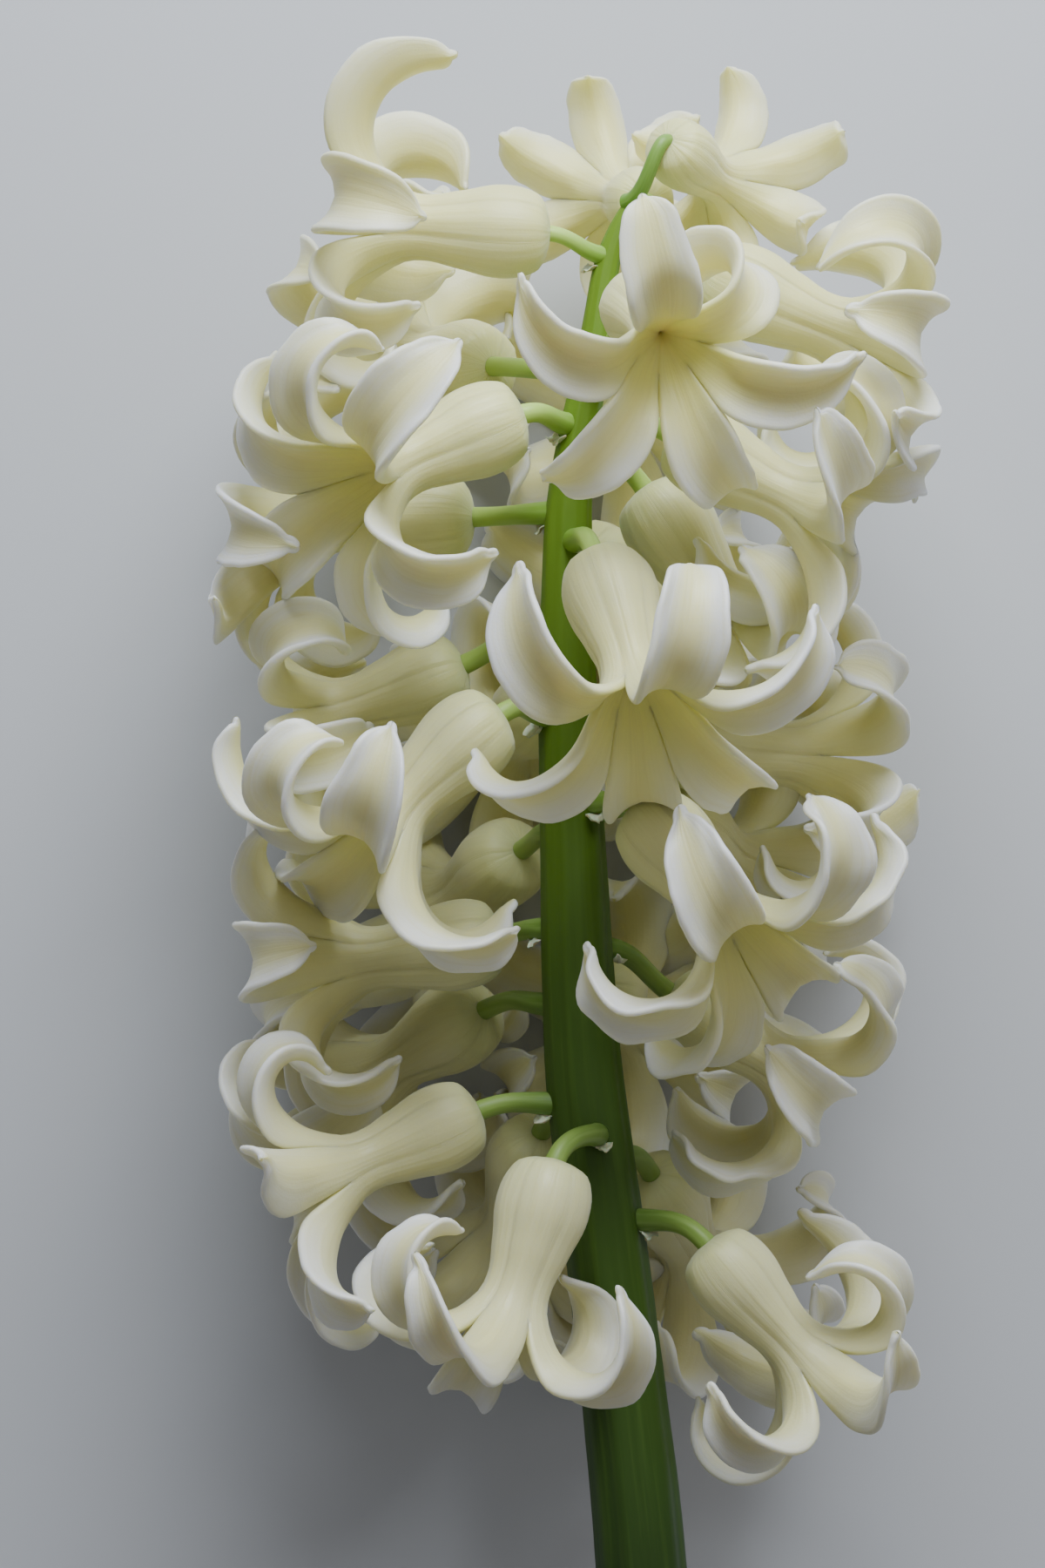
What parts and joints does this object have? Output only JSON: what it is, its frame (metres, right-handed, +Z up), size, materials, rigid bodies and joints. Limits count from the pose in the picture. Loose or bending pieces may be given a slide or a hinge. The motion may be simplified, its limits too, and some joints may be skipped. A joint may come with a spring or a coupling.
{
  "type": "hyacinth flower",
  "caption": "Cut hyacinth flower lying on its back: a fleshy green stem with a dense spike of cream florets whose tepals roll back.",
  "frame": {"origin": "middle of the flower's outline seen from above, on the surface it lies on", "axes": "+Z up from the surface, +Y along the stem towards the tip of the spike, +X across the spike"},
  "size_m": [0.0762, 0.1978, 0.0759],
  "materials": {
    "stem": "fleshy, faintly ridged, satin",
    "petal": "waxy cream tepals, satin"
  },
  "bodies": {
    "root": {"stem": "stem", "floret_01": "petal", "floret_02": "petal", "floret_03": "petal", "floret_04": "petal", "floret_05": "petal", "floret_06": "petal", "floret_07": "petal", "floret_08": "petal", "floret_09": "petal", "floret_10": "petal", "floret_11": "petal", "floret_12": "petal", "floret_13": "petal", "floret_14": "petal", "floret_15": "petal", "floret_16": "petal", "floret_17": "petal", "floret_18": "petal", "floret_19": "petal", "floret_20": "petal", "floret_21": "petal", "floret_22": "petal", "floret_23": "petal", "floret_24": "petal", "floret_25": "petal", "floret_26": "petal", "floret_27": "petal", "floret_28": "petal", "floret_29": "petal"}
  },
  "joints": []
}
